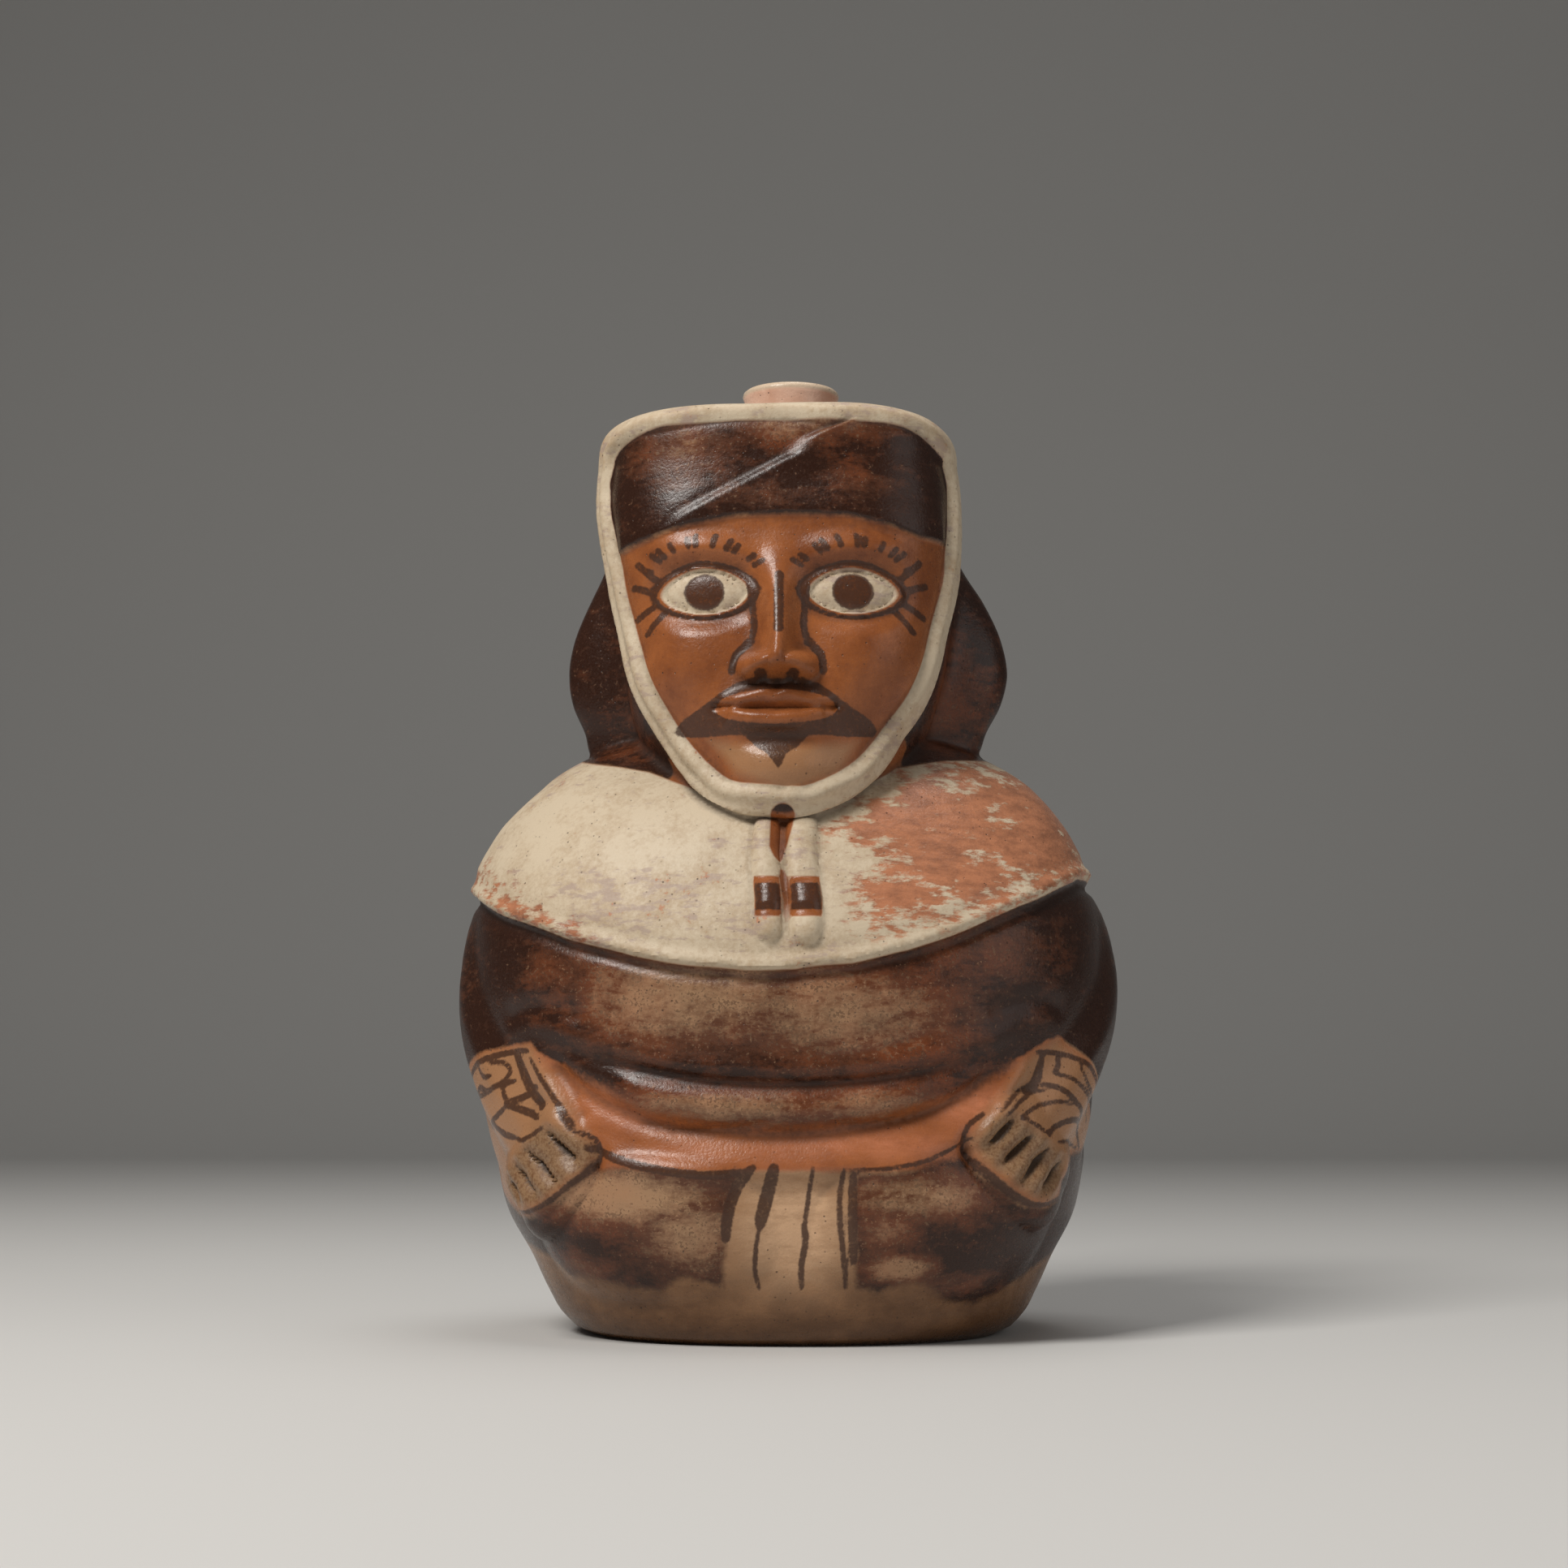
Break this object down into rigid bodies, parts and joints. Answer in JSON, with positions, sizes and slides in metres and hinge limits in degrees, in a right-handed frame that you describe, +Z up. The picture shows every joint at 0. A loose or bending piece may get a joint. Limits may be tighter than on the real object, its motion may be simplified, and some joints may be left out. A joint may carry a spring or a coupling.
{
  "type": "effigy vessel",
  "caption": "Hollow fired clay vessel shaped as a seated, hooded and cloaked figure with hands on its knees, with a stirrup handle and a short spout behind the head.",
  "frame": {"origin": "centre of the flat underside, on the figure's standing axis", "axes": "+Z up from the underside to the spout's rim; the figure faces -Y, so the handle and spout are on the +Y side; +X is to the right seen from the front"},
  "size_m": [0.1556, 0.1476, 0.24],
  "materials": {
    "fired_clay": "burnished slip, semi-gloss"
  },
  "bodies": {
    "root": {"effigy_vessel": "fired_clay"}
  },
  "joints": []
}
